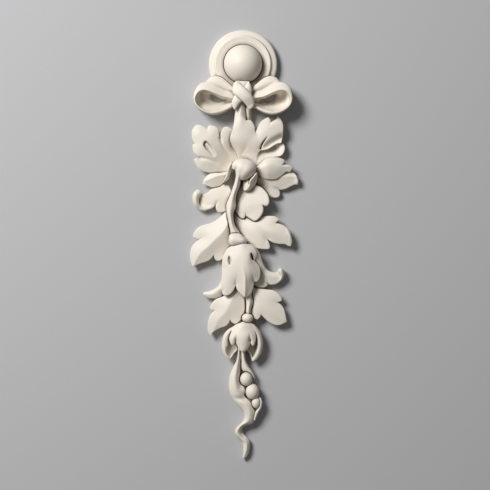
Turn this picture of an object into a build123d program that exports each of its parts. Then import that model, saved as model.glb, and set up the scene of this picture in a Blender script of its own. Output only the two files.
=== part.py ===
"""Moulded drop onlay: a rosette with a tied bow, and a hanging spray of leaves, flowers and berries.

One piece of rigid polyurethane, cast in one mould, with a flat back. Millimetres.
The origin is the rosette's centre on the back plane, +Y runs up the drop and +Z out of the wall.
"""

import os
from dataclasses import dataclass

from build123d import *

# Back plane. Every form starts this far behind it, and one cut then makes the back flat.
ROOT = 4.0
# Margins are raised to this height, and rounded over by cylinders of this length, longer than any form.
STOCK_HEIGHT = 60.0
CROWN_LENGTH = 300.0
# A cut runs this far past the faces that it opens.
OVERRUN = 1.0

# Rosette: a stepped plate with a dished ring round a ball.
PLATE_RADIUS = 34.2
PLATE_EDGE = 6.0
PLATE_CROWN = 9.0
DISH_RADIUS = 27.6
DISH_LIP = 12.0
DISH_FLOOR = 9.5
BALL_RADIUS = 19.1
BALL_CENTRE_HEIGHT = 10.5

# Bow: two funnel-shaped ribbon loops, mirrored about the drop's centre line.
# Each ring runs from the knot over the top of the loop, round its end and back below.
BOW_FRONT = 23.0
BOW_BACK = [
    (-7, -22), (-20, -14), (-31, -12), (-40, -18), (-47, -27), (-47, -38), (-39, -45),
    (-28, -47), (-7, -42),
]
BOW_RIM = [
    (-7, -33), (-20, -32), (-30, -28), (-38, -25), (-45, -27), (-48.7, -34), (-46, -43),
    (-28, -50.2), (-7, -43),
]
BOW_MOUTH = [
    (-10.5, -38.5), (-21, -35.5), (-31, -30.5), (-38, -27.6), (-44, -29.5), (-46.5, -35), (-43, -43),
    (-28, -47.6), (-10.5, -40.5),
]
BOW_HOLE = [
    (-18, -35.8), (-24, -33.2), (-29, -30.8), (-33, -29.5), (-34, -31), (-32.5, -34), (-29, -36.7),
    (-24, -37.8), (-18, -36.6),
]

# Knot: two ribbon bands that cross, each rounded over by a sphere above the knot's centre.
KNOT_Y = -31.0
KNOT_CROWN = 24.0
FRONT_BAND_TOP = 29.0
FRONT_BAND = [
    [(1, -23.5), (7, -30), (11, -37), (10.5, -41), (7, -45.5)],
    [(5, -45), (-2, -37.2), (-7, -32.5), (-10, -27), (-9.5, -22), (-6.5, -17.5)],
]
BACK_BAND_TOP = 25.5
BACK_BAND = [
    [(-10.7, -36), (-11, -41), (-9, -45), (-7.5, -46)],
    [(-4, -42), (4, -33), (9.5, -30), (9, -23), (6, -17.5)],
    [(-2, -20), (-8, -28)],
]


@dataclass
class Blade:
    """A leaf, petal or stem.

    The margin is a list of lobes that meet in notches. Each lobe is a smooth curve through its points,
    from the end of the lobe before it. The crest runs from root to tip, points with their height,
    and crown is the radius that the blade is rounded to about its crest.
    """

    margin: list
    root: tuple
    tip: tuple
    crown: float


@dataclass
class Boss:
    """A round form that stands on the back plane and ends in a dome."""

    x: float
    y: float
    radius: float
    top: float


@dataclass
class Oval:
    """An upright oval form, and the height and radius of its rounded end."""

    x: float
    y: float
    half_width: float
    half_height: float
    top: float
    crown: float


# Web behind the stems, which carries the leaves, flowers and collars.
SPINE = Blade(
    margin=[
        [(-11, -129), (-14, -142), (-13, -156), (-9, -170), (-10, -190), (-6, -215), (-1, -240), (-1, -256)],
        [(7, -258)],
        [(10, -240), (8, -215), (8, -190), (3, -172), (4, -156), (4, -130), (2, -112)],
        [(-7, -112)],
    ],
    root=(-3, -112, 7),
    tip=(3, -258, 7),
    crown=60,
)

# Large flower: leaves above, petals below, and the round bud between two sepals.
TOP_STEM = Blade(
    margin=[
        [(3, -30)],
        [(7.5, -46)],
        [(7.5, -58)],
        [(3, -72)],
        [(-10, -72)],
        [(-8, -52), (-7, -45)],
        [(-3, -30)],
    ],
    root=(0, -42, 17),
    tip=(0, -70, 15),
    crown=11,
)
UPPER_LEFT_LEAF = Blade(
    margin=[
        [(-10, -83), (-12.5, -75), (-11.5, -65.5), (-17, -62.3), (-20.7, -67), (-22.5, -73)],
        [(-25, -66), (-30, -61.5), (-33.5, -61), (-35.5, -65)],
        [(-39.5, -61.8), (-46, -60.5), (-50.7, -66), (-50.5, -74), (-47.5, -79.6)],
        [(-50, -81), (-49.5, -86.5), (-45.5, -91.5), (-42.7, -93.5)],
        [(-49, -95), (-47.5, -99), (-41, -106), (-30, -108.3), (-17, -108), (-3, -106)],
        [(-3, -94)],
    ],
    root=(-8, -97, 15),
    tip=(-47, -73, 12),
    crown=70,
)
TOP_LEAF = Blade(
    margin=[
        [(-10.5, -82), (-12.5, -75), (-10.5, -66), (-8, -55)],
        [(3.5, -56.5)],
        [(6.5, -55.5), (11.5, -62), (11.5, -69)],
        [(9, -80), (6, -98)],
        [(-4, -98)],
    ],
    root=(-1, -96, 15),
    tip=(2, -56, 17),
    crown=22,
)
UPPER_RIGHT_LEAF = Blade(
    margin=[
        [(15, -62), (21, -55), (25, -53.2), (27, -55), (27.8, -58.2)],
        [(30.5, -56.5), (33, -55), (34.5, -51)],
        [(38.5, -56), (40, -63), (39.5, -71), (37.5, -79.5)],
        [(40.5, -79), (41.8, -83), (40.5, -88), (35, -92)],
        [(27, -94), (19, -98.5), (10, -104)],
        [(-2, -104)],
        [(11.5, -69)],
    ],
    root=(4, -98, 16),
    tip=(36, -60, 12),
    crown=60,
)
RIGHT_PETAL = Blade(
    margin=[
        [(16.5, -99.5), (24, -93.5), (33, -92.8), (41.3, -95.5)],
        [(39, -101)],
        [(42, -100), (46, -100.2), (49.5, -102.5)],
        [(46, -107.5), (39, -112), (29, -115), (20, -114), (8, -110)],
        [(6, -102)],
    ],
    root=(8, -105, 18),
    tip=(46, -102, 12),
    crown=26,
)
RIGHT_LOWER_PETAL = Blade(
    margin=[
        [(30, -104), (48, -107), (54, -112), (55.3, -116), (55, -120)],
        [(48, -121.5), (42, -124), (36, -125.2)],
        [(37, -128), (36.3, -131.5), (33, -133), (28, -132), (20, -124), (4, -120)],
        [(4, -104)],
    ],
    root=(8, -112, 13),
    tip=(54, -117, 8),
    crown=70,
)
LEFT_LOWER_PETAL = Blade(
    margin=[
        [(-14, -106), (-29, -107.8), (-37, -112), (-40.3, -119.5)],
        [(-31, -122.6), (-23, -121.5), (-14, -116), (-4, -114)],
        [(-4, -105)],
    ],
    root=(-6, -110, 13),
    tip=(-40, -117, 8),
    crown=30,
)
SCROLL_LEAF = Blade(
    margin=[
        [(-23, -122), (-32, -124.5), (-38, -128.5), (-41.5, -130)],
        [(-42.5, -126), (-45, -124.8), (-49, -128), (-50.3, -134), (-47, -142), (-40, -145), (-26.7, -140)],
        [(-27, -144), (-23, -147.5), (-14, -147)],
        [(-6, -140)],
        [(-4, -114)],
    ],
    root=(-8, -128, 13),
    tip=(-46, -134, 12),
    crown=60,
)
HEART_PETAL = Blade(
    margin=[
        [(13, -120), (21, -125), (26, -134), (26, -139), (24.5, -141), (19.7, -140.5)],
        [(20.5, -144), (17.5, -152), (11, -156.5), (5, -152.5), (2.7, -149)],
        [(2, -152.5), (-1, -153.5), (-4, -149.5), (-5, -140), (-4, -131), (-2, -112)],
    ],
    root=(4, -118, 18),
    tip=(12, -152, 15),
    crown=50,
)
LEFT_SEPAL = Blade(
    margin=[
        [(-14, -102), (-17.5, -111), (-21, -119)],
        [(-15.5, -114), (-12, -107), (-4, -104)],
        [(-2, -96)],
    ],
    root=(-4, -99, 28),
    tip=(-20, -117, 18),
    crown=12,
)
RIGHT_SEPAL = Blade(
    margin=[
        [(15, -112), (9, -122), (2, -126.8)],
        [(1, -121), (5, -116), (6, -108)],
        [(12, -104)],
    ],
    root=(11, -106, 26),
    tip=(3, -125, 20),
    crown=14,
)
BUD = Boss(x=1.0, y=-106.5, radius=12.5, top=32.0)

# Stem down to the bell flower, the two leaves beside it and the collar that it ends in.
STEM = Blade(
    margin=[
        [(-7.5, -114), (-12, -129), (-17, -141), (-16.5, -147), (-13.5, -161), (-12, -172)],
        [(-2, -172)],
        [(-9, -157), (-9.5, -147), (-7.5, -142), (-6, -128), (-1, -108)],
        [(-6, -104)],
    ],
    root=(-5, -106, 28),
    tip=(-8, -172, 22),
    crown=14,
)
MIDDLE_LEFT_LEAF = Blade(
    margin=[
        [(-27, -155.5), (-38, -159.7), (-47, -165), (-50, -172.3)],
        [(-44, -174.3), (-40.5, -173)],
        [(-48.5, -178.5), (-52.7, -189), (-52.3, -196), (-50, -202.3)],
        [(-41, -198), (-32, -194), (-29, -190)],
        [(-28, -194), (-25.5, -196), (-20, -193), (-17, -185), (-6, -178)],
        [(-8, -150)],
        [(-15, -148)],
    ],
    root=(-10, -155, 17),
    tip=(-50, -198, 10),
    crown=40,
)
MIDDLE_RIGHT_LEAF = Blade(
    margin=[
        [(-3.5, -166.5), (4, -175.5), (11, -182.5), (21, -184.3), (26.7, -184)],
        [(26.3, -178.5), (24.3, -174)],
        [(31, -178), (42, -179.3), (47.5, -181.5)],
        [(49, -177), (46, -166), (39, -159.8), (32.5, -158.3)],
        [(36.3, -154.8)],
        [(28, -151), (15, -151), (-6, -145)],
        [(-9, -156)],
    ],
    root=(0, -158, 19),
    tip=(47, -174, 10),
    crown=45,
)
STEM_COLLAR = Oval(x=-4.5, y=-175.0, half_width=9.6, half_height=6.2, top=26.0, crown=11.0)

# Bell flower: the bell, its two spread petals and the round eyes sunk in its shoulders.
BELL = Blade(
    margin=[
        [(-18.5, -188), (-21, -200), (-21, -212), (-19, -226)],
        [(-14, -229.5), (-10, -226), (-7.5, -219.3)],
        [(-3, -228), (1.5, -232)],
        [(8, -228), (10.8, -221), (11, -216)],
        [(14, -216.5), (17, -211), (16.5, -201.5), (13, -190), (3, -179)],
        [(-12.5, -181.5)],
    ],
    root=(-4, -180, 26),
    tip=(-2, -230, 25),
    crown=26,
)
BELL_LEFT_FLARE = Blade(
    margin=[
        [(-21.5, -214), (-29, -223.5), (-39, -227)],
        [(-40, -229), (-34, -233), (-25, -232.5), (-20.5, -228)],
        [(-17, -230), (-10, -226)],
        [(-6, -205)],
        [(-19, -202)],
    ],
    root=(-10, -208, 22),
    tip=(-38, -230, 9),
    crown=30,
)
BELL_RIGHT_WING = Blade(
    margin=[
        [(13, -183), (18, -192), (22, -202), (29, -206.5), (34.5, -207)],
        [(36, -203.7), (38.5, -203), (41, -207), (38.5, -215), (29, -219.5), (24, -217.8)],
        [(24.5, -221), (17, -222.3), (6, -218)],
        [(2, -180)],
    ],
    root=(8, -184, 16),
    tip=(36, -212, 11),
    crown=50,
)
EYE_FLOOR = 12.0
LEFT_EYE = Oval(x=-13.0, y=-195.5, half_width=1.8, half_height=4.6, top=STOCK_HEIGHT, crown=0.0)
RIGHT_EYE = Oval(x=8.8, y=-191.0, half_width=1.6, half_height=4.2, top=STOCK_HEIGHT, crown=0.0)

# Two leaves below the bell, and the short stem and collar down to the calyx.
LOWER_LEFT_LEAF = Blade(
    margin=[
        [(-11, -225), (-21, -231), (-29, -236), (-33.5, -243)],
        [(-31, -244.8), (-28, -245.2)],
        [(-32, -249), (-35.2, -261), (-31.5, -271.2)],
        [(-27, -265), (-17, -260.5), (-12.7, -254)],
        [(-8, -258.5), (-1.5, -253.5), (1.8, -241), (2, -224)],
    ],
    root=(-3, -228, 15),
    tip=(-31, -268, 9),
    crown=40,
)
LOWER_RIGHT_LEAF = Blade(
    margin=[
        [(17, -223.5), (30, -225), (38, -232), (39, -235.5)],
        [(34, -237)],
        [(41, -244), (43, -252), (44, -256.3)],
        [(35, -260), (25, -256), (18, -249.3)],
        [(14, -254.3), (9, -249.5), (9.5, -240), (5, -226)],
    ],
    root=(9, -228, 15),
    tip=(43, -254, 9),
    crown=40,
)
SMALL_STEM = Blade(
    margin=[
        [(9.5, -233)],
        [(10.5, -237), (8, -243), (7.5, -252)],
        [(1.5, -252)],
        [(1, -226)],
        [(8, -226)],
    ],
    root=(5, -228, 18),
    tip=(5, -250, 17),
    crown=10,
)
SMALL_COLLAR = Oval(x=4.5, y=-252.5, half_width=5.2, half_height=4.4, top=19.0, crown=6.0)

# Calyx: a bulb of three lobes between two sepals.
CALYX_LEFT_SEPAL = Blade(
    margin=[
        [(-16, -265), (-21, -277), (-18.5, -290), (-12.5, -294.8)],
        [(-10, -289), (-3, -282)],
        [(2, -258)],
        [(-3, -256.5)],
    ],
    root=(-8, -262, 18),
    tip=(-15, -292, 12),
    crown=24,
)
CALYX_RIGHT_SEPAL = Blade(
    margin=[
        [(14.5, -262.5), (19.8, -276), (17, -290), (9, -296.3)],
        [(7, -289), (0, -282)],
        [(0, -258)],
        [(7, -256.5)],
    ],
    root=(10, -262, 18),
    tip=(13, -292, 12),
    crown=24,
)
CALYX_BULB = Blade(
    margin=[
        [(-13.5, -272), (-13, -277), (-11, -279), (-7.2, -275.5)],
        [(-5, -282), (0, -286.8)],
        [(6, -281), (7.5, -276)],
        [(10, -280), (12.5, -276), (12, -266), (4, -257)],
        [(-4, -258), (-10, -264), (-12, -267)],
    ],
    root=(0, -258, 21),
    tip=(0, -285, 22),
    crown=18,
)

# Tail: a long pod that holds three berries on a low bed, a strand beside it and a twisted end.
TAIL_POD = Blade(
    margin=[
        [(-7, -296), (-12.5, -308), (-14, -318), (-12.5, -328), (-5, -339), (0.8, -347), (0.5, -355)],
        [(10.5, -356)],
        [(14, -348), (18.8, -339), (17.5, -333)],
        [(13, -344)],
        [(6, -334.5), (1.5, -330)],
        [(2, -324), (-3, -317), (-3, -306), (-2.5, -280)],
        [(-5, -280)],
    ],
    root=(-4, -284, 17),
    tip=(6, -356, 13),
    crown=26,
)
TAIL_BED = Blade(
    margin=[
        [(-7, -312), (-6, -326), (4, -342), (13, -346)],
        [(17, -337), (15, -325), (9, -315)],
        [(3, -305), (-3, -297)],
    ],
    root=(0, -300, 9),
    tip=(13, -344, 8),
    crown=40,
)
TAIL_STRAND = Blade(
    margin=[
        [(3, -295), (6, -301), (11.7, -311), (12, -314.5)],
        [(9, -310), (0.5, -303), (-1, -295), (-3, -284)],
        [(2, -284)],
    ],
    root=(0, -286, 15),
    tip=(11, -314, 11),
    crown=16,
)
TAIL_TWIST = Blade(
    margin=[
        [(0.5, -355), (-6.5, -362), (-8.1, -366), (-3.5, -373.5), (0, -380), (0, -389), (-0.7, -393.5)],
        [(4.5, -390), (6.8, -381), (4, -372), (-0.7, -365.5), (3, -359.8), (10.5, -356)],
        [(8, -348)],
        [(2, -348)],
    ],
    root=(4, -352, 12.5),
    tip=(2, -392, 7),
    crown=16,
)
BERRIES = [
    Boss(x=3.5, y=-313.8, radius=5.9, top=18.0),
    Boss(x=9.3, y=-326.0, radius=7.0, top=19.0),
    Boss(x=13.0, y=-336.5, radius=4.6, top=14.0),
]

BLADES = [
    SPINE,
    TOP_STEM,
    UPPER_LEFT_LEAF,
    UPPER_RIGHT_LEAF,
    TOP_LEAF,
    RIGHT_LOWER_PETAL,
    RIGHT_PETAL,
    LEFT_LOWER_PETAL,
    SCROLL_LEAF,
    HEART_PETAL,
    LEFT_SEPAL,
    RIGHT_SEPAL,
    MIDDLE_LEFT_LEAF,
    MIDDLE_RIGHT_LEAF,
    STEM,
    BELL_RIGHT_WING,
    BELL_LEFT_FLARE,
    BELL,
    LOWER_LEFT_LEAF,
    LOWER_RIGHT_LEAF,
    SMALL_STEM,
    CALYX_LEFT_SEPAL,
    CALYX_RIGHT_SEPAL,
    CALYX_BULB,
    TAIL_BED,
    TAIL_STRAND,
    TAIL_POD,
    TAIL_TWIST,
]
BOSSES = [BUD, *BERRIES]
COLLARS = [STEM_COLLAR, SMALL_COLLAR]
EYES = [LEFT_EYE, RIGHT_EYE]


def draw_margin(lobes):
    """Draws a closed margin, one curve for each lobe, or a line where a lobe has one point only."""
    start = lobes[-1][-1]
    for lobe in lobes:
        if len(lobe) == 1:
            Line(start, lobe[0])
        else:
            Spline(start, *lobe)
        start = lobe[-1]


def raise_margin(lobes):
    """Raises a margin from behind the back plane to the stock height, inside the active part."""
    with BuildSketch(Plane.XY.offset(-ROOT)) as outline:
        with BuildLine():
            draw_margin(lobes)
        make_face()
    extrude(outline.sketch, amount=ROOT + STOCK_HEIGHT)


def blade_solid(blade):
    """A raised margin, rounded over by a cylinder whose top runs along the crest."""
    root = Vector(*blade.root)
    tip = Vector(*blade.tip)
    along = (tip - root).normalized()
    across = along.cross(Vector(0, 0, 1)).normalized()
    outward = across.cross(along)
    crown_axis = Plane(origin=(root + tip) / 2 - outward * blade.crown, x_dir=across, z_dir=along)
    with BuildPart() as solid:
        raise_margin(blade.margin)
        with Locations(crown_axis):
            Cylinder(blade.crown, CROWN_LENGTH, mode=Mode.INTERSECT)
    return solid.part


def band_solid(lobes, top):
    """One ribbon band of the knot: a raised margin, rounded over by a sphere."""
    with BuildPart() as solid:
        raise_margin(lobes)
        with Locations((0, KNOT_Y, top - KNOT_CROWN)):
            Sphere(KNOT_CROWN, mode=Mode.INTERSECT)
    return solid.part


def boss_solid(boss):
    """A round post with a hemispherical end."""
    with BuildPart() as solid:
        with BuildSketch(Plane.XY.offset(-ROOT)):
            with Locations((boss.x, boss.y)):
                Circle(boss.radius)
        extrude(amount=ROOT + boss.top - boss.radius)
        with Locations((boss.x, boss.y, boss.top - boss.radius)):
            Sphere(boss.radius)
    return solid.part


def collar_solid(collar):
    """An oval post with a rounded end."""
    with BuildPart() as solid:
        with BuildSketch(Plane.XY.offset(-ROOT)):
            with Locations((collar.x, collar.y)):
                Ellipse(collar.half_width, collar.half_height)
        extrude(amount=ROOT + STOCK_HEIGHT)
        with Locations((collar.x, collar.y, collar.top - collar.crown)):
            Sphere(collar.crown, mode=Mode.INTERSECT)
    return solid.part


def loft_rings(low, low_height, high, high_height, mode):
    """Lofts one closed ring to another at another height, inside the active part."""
    sections = []
    for ring, height in ((low, low_height), (high, high_height)):
        with BuildSketch(Plane.XY.offset(height)) as section:
            with BuildLine():
                Spline(*ring)
                Line(ring[-1], ring[0])
            make_face()
        sections.append(section.sketch.face())
    loft(sections, mode=mode)


with BuildPart() as rosette:
    with BuildSketch(Plane.XZ):
        with BuildLine():
            Polyline((0, DISH_FLOOR), (0, -ROOT), (PLATE_RADIUS, -ROOT), (PLATE_RADIUS, PLATE_EDGE))
            ThreePointArc(
                (PLATE_RADIUS, PLATE_EDGE),
                ((PLATE_RADIUS + DISH_RADIUS) / 2, PLATE_CROWN),
                (DISH_RADIUS, PLATE_EDGE),
            )
            Line((DISH_RADIUS, PLATE_EDGE), (DISH_RADIUS, DISH_LIP))
            Polyline((DISH_RADIUS, DISH_LIP), (BALL_RADIUS, DISH_FLOOR), (0, DISH_FLOOR))
        make_face()
    revolve(axis=Axis.Z)
    with Locations((0, 0, BALL_CENTRE_HEIGHT)):
        Sphere(BALL_RADIUS)

with BuildPart() as bow_loops:
    loft_rings(BOW_BACK, -ROOT, BOW_RIM, BOW_FRONT, Mode.ADD)
    loft_rings(BOW_HOLE, -ROOT - OVERRUN, BOW_MOUTH, BOW_FRONT + OVERRUN, Mode.SUBTRACT)
    mirror(about=Plane.YZ)

with BuildPart() as onlay:
    add(rosette.part)
    add(bow_loops.part)
    add(band_solid(BACK_BAND, BACK_BAND_TOP))
    add(band_solid(FRONT_BAND, FRONT_BAND_TOP))
    for blade in BLADES:
        add(blade_solid(blade))
    for boss in BOSSES:
        add(boss_solid(boss))
    for collar in COLLARS:
        add(collar_solid(collar))
    for eye in EYES:
        with BuildSketch(Plane.XY.offset(EYE_FLOOR)):
            with Locations((eye.x, eye.y)):
                Ellipse(eye.half_width, eye.half_height)
        extrude(amount=eye.top - EYE_FLOOR, mode=Mode.SUBTRACT)
    split(bisect_by=Plane.XY, keep=Keep.TOP)

onlay.part.label = "onlay"
os.makedirs("parts", exist_ok=True)
export_step(onlay.part, "parts/onlay.step")
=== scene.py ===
import bpy
import numpy as np
import openvdb
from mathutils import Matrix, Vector


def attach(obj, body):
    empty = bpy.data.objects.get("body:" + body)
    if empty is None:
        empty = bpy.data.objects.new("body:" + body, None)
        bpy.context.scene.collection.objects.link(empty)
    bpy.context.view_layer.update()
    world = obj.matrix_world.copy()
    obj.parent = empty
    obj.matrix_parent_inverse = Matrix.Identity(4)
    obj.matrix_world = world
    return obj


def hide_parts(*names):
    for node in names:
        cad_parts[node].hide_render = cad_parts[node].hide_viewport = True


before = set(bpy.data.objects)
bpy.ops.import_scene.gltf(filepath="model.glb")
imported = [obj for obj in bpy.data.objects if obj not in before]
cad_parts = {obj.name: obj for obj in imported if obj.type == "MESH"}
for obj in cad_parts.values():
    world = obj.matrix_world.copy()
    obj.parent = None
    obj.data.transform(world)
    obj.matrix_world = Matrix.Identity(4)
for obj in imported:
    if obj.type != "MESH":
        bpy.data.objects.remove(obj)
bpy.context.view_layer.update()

# The mould: the whole drop is one casting of rigid polyurethane, poured into one open mould.
# The filling holds, at each point of a grid in millimetres, how deep that point lies inside the casting.
# X runs right, Y up the drop and Z out of the flat back, all from the rosette's centre on the back.
STEP = 0.4
plan_x = np.arange(-58.0, 58.1, STEP)
plan_y = np.arange(-397.0, 38.1, STEP)
level = np.arange(-2.5 * STEP, 34.6, STEP)
OUTSIDE = -4.0
INSIDE = 4.0
filling = np.full((len(plan_x), len(plan_y), len(level)), OUTSIDE, np.float32)
footprint = np.full((len(plan_x), len(plan_y), 1), OUTSIDE, np.float32)
FOOT_HEIGHT = 1.0
FOOT_LEVEL = int(np.searchsorted(level, FOOT_HEIGHT))

# The rosette: a round plate with a soft rim, a raised ring dished towards the middle, and a smooth ball.
# It is cast in one with the drop, which hangs from it, and the bow is carved across its lower edge.
# Forms meet in a small soft corner, and a fine groove, given as a width and a depth, sets them apart.
CORNER = 0.35
GROOVE = (0.9, 1.6)
UNDERCUT_START = 2.0
UNDERCUT_RUN = 3.0


def plan_window(outline, reach=3.0):
    """The part of the plan grid within reach of an outline: its index ranges, and X and Y there."""
    low = outline[:, :2].min(axis=0) - reach
    high = outline[:, :2].max(axis=0) + reach
    columns = slice(*np.searchsorted(plan_x, [low[0], high[0]]))
    rows = slice(*np.searchsorted(plan_y, [low[1], high[1]]))
    return (columns, rows), plan_x[columns, None], plan_y[None, rows]


def soften(heights, reach=0.8):
    """Heights averaged over a small bell-shaped neighbourhood, first across and then along."""
    offsets = np.arange(-int(3 * reach / STEP), int(3 * reach / STEP) + 1)
    weights = np.exp(-0.5 * (offsets * STEP / reach) ** 2)
    weights /= weights.sum()
    for axis in (0, 1):
        size = heights.shape[axis]
        heights = sum(
            weight * np.take(heights, np.clip(np.arange(size) + offset, 0, size - 1), axis=axis)
            for offset, weight in zip(offsets, weights)
        )
    return heights


def merge(area, form, corner=CORNER, groove=GROOVE):
    """Adds a form to the filling: the greater depth of the two, and a little more where they nearly agree.

    First a groove is cut round the form: what lies within its width of the form, and no deeper than its
    depth under the skin, is taken away. The footprint takes the greater depth of the two near the back.
    """
    form = np.clip(form, OUTSIDE, INSIDE)
    footprint[area] = np.maximum(footprint[area], form[..., FOOT_LEVEL, None])
    old = filling[area]
    width, depth = groove
    if np.any(width):
        old = np.minimum(old, np.maximum(-form - width, old - depth))
    nearness = np.maximum(corner - np.abs(old - form), 0) / corner
    filling[area] = np.maximum(old, form) + nearness**2 * corner / 4


def fill_under(area, inset, top, lip=0.9, undercut=1.0, corner=CORNER, groove=GROOVE):
    """Adds the space under a top surface and inside a margin to the filling.

    The depth at a point is the lesser of its depth under the top, square to it, and its distance in from
    the margin. The edge is rounded to the lip's radius, and below it the side draws in by the undercut.
    """
    across, along = np.gradient(top, STEP)
    below = (top[..., None] - level) / np.sqrt(1 + across**2 + along**2)[..., None]
    draw_in = undercut * np.clip((below - UNDERCUT_START) / UNDERCUT_RUN, 0.0, 1.0)
    side = inset[..., None] - draw_in
    rounding = np.hypot(np.maximum(lip - below, 0), np.maximum(lip - side, 0))
    merge(area, np.maximum(lip, np.minimum(below, side)) - rounding, corner, groove)


def ball(x0, y0, z0, across, along, high, groove=GROOVE):
    """Adds a knob with an egg-shaped top on a straight foot.

    The depth is one less the distance from its centre in units of its three half sizes, times the least of
    them, where what lies below the centre counts as level with it.
    """
    reach = np.array([[x0 - across, y0 - along], [x0 + across, y0 + along]])
    area, x, y = plan_window(reach)
    above = np.maximum(level - z0, 0) / high
    far = np.sqrt((((x - x0) / across) ** 2 + ((y - y0) / along) ** 2)[..., None] + above**2)
    merge(area, (1 - far) * min(across, along, high), groove=groove)


PLATE_RADIUS = 34.2
RING_RADIUS = 27.6
BALL_RADIUS = 19.1
rosette_rim = np.array([[-PLATE_RADIUS, -PLATE_RADIUS], [PLATE_RADIUS, PLATE_RADIUS]])
area, x, y = plan_window(rosette_rim)
radius = np.hypot(x, y)
profile_radius = [BALL_RADIUS, 22.5, 25.5, RING_RADIUS - 0.6, RING_RADIUS, 28.3, 30.0, 32.5,
                  PLATE_RADIUS]
profile_height = [11.0, 11.2, 11.7, 12.1, 11.9, 9.4, 9.0, 8.5, 7.6]
rosette_top = soften(np.interp(radius, profile_radius, profile_height), 0.3)
fill_under(area, PLATE_RADIUS - radius, rosette_top, lip=1.4, undercut=0.0)
ball(0, 0, 11.5, BALL_RADIUS, BALL_RADIUS, BALL_RADIUS, groove=(0.7, 1.2))

# The bow: two hollow ribbon loops, alike on both sides, with a second ribbon showing behind each.
# A loop's outside slopes back from the rim of its mouth, and its inside narrows to a hole at the back.
# It is cast in one with the rosette, and the loops run into the ribbons behind them without a groove.
NO_GROOVE = (0.0, 0.0)
SUNK_SLOPE = 0.9
SUNK_SOFTNESS = 0.3
MELT_CORNER = 3.0


def smooth_line(points, spacing=0.7):
    """A curve through every point. Each span is a cubic whose end slopes follow the neighbouring points.

    Further columns, such as a height or a half width, are carried along in the same way.
    """
    points = np.asarray(points, float)
    chords = np.linalg.norm(np.diff(points[:, :2], axis=0), axis=1)
    knots = np.concatenate([[0.0], np.cumsum(np.sqrt(chords))])
    slopes = np.gradient(points, knots, axis=0)
    count = max(2, int(chords.sum() / spacing) + 1)
    at = np.linspace(0.0, knots[-1], count)
    span = np.clip(np.searchsorted(knots, at, side="right") - 1, 0, len(points) - 2)
    width = (knots[span + 1] - knots[span])[:, None]
    t = ((at - knots[span]) / width[:, 0])[:, None]
    start, end = points[span], points[span + 1]
    rise, fall = slopes[span] * width, slopes[span + 1] * width
    return (
        (2 * t**3 - 3 * t**2 + 1) * start
        + (t**3 - 2 * t**2 + t) * rise
        + (3 * t**2 - 2 * t**3) * end
        + (t**3 - t**2) * fall
    )


def margin(lobes):
    """A closed outline. Each lobe is a smooth line that starts at the last point of the lobe before it."""
    starts = [lobes[-1][-1]] + [lobe[-1] for lobe in lobes[:-1]]
    runs = [smooth_line([start, *lobe])[:-1] for start, lobe in zip(starts, lobes)]
    return np.vstack(runs + [runs[0][:1]])


def nearest(line, x, y):
    """The distance in plan to the nearest point of a line, its share of the way, and what it carries."""
    start, run = line[:-1], np.diff(line, axis=0)
    ax, ay = start[:, 0, None, None], start[:, 1, None, None]
    rx, ry = run[:, 0, None, None], run[:, 1, None, None]
    t = np.clip(((x - ax) * rx + (y - ay) * ry) / (rx**2 + ry**2 + 1e-9), 0.0, 1.0)
    gap = (x - ax - t * rx) ** 2 + (y - ay - t * ry) ** 2
    pick = gap.argmin(axis=0)
    t = np.take_along_axis(t, pick[None], axis=0)[0]
    distance = np.sqrt(np.take_along_axis(gap, pick[None], axis=0)[0])
    carried = start[pick, 2:] + t[..., None] * run[pick, 2:]
    return distance, (pick + t) / len(run), carried


def inset_from(outline, x, y):
    """The distance in plan from a closed outline, positive inside it.

    A point is inside where a ray to its right crosses the outline an odd number of times.
    """
    distance = nearest(outline, x, y)[0]
    ax, ay = outline[:-1, 0, None, None], outline[:-1, 1, None, None]
    bx, by = outline[1:, 0, None, None], outline[1:, 1, None, None]
    straddles = (ay > y) != (by > y)
    crossing = ax + (y - ay) * (bx - ax) / np.where(by == ay, 1e-9, by - ay)
    inside = (straddles & (x < crossing)).sum(axis=0) % 2 == 1
    return np.where(inside, distance, -distance)


def folded(heights, folds, x, y):
    """Heights with rounded ridges and furrows: each fold adds its rise times a bell curve across its line.

    A fold is its points, each with a rise that is negative in a furrow, and its half width.
    """
    for points, half_width in folds:
        distance, _, rise = nearest(smooth_line(points), x, y)
        heights = heights + rise[..., 0] * np.exp(-((distance / half_width) ** 2))
    return heights


def melted(corner, groove, melts, x, y):
    """The soft corner and the groove at each place.

    A melt is a point and a radius. From half as far again as the radius in to half of it, the groove fades
    away and the corner widens, so that the form runs into what it grows from.
    """
    for melt_x, melt_y, melt_radius in melts:
        near = np.clip(1.5 - np.hypot(x - melt_x, y - melt_y) / melt_radius, 0.0, 1.0)[..., None]
        corner = corner + MELT_CORNER * near
        groove = (groove[0] * (1 - near), groove[1])
    return corner, groove


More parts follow.
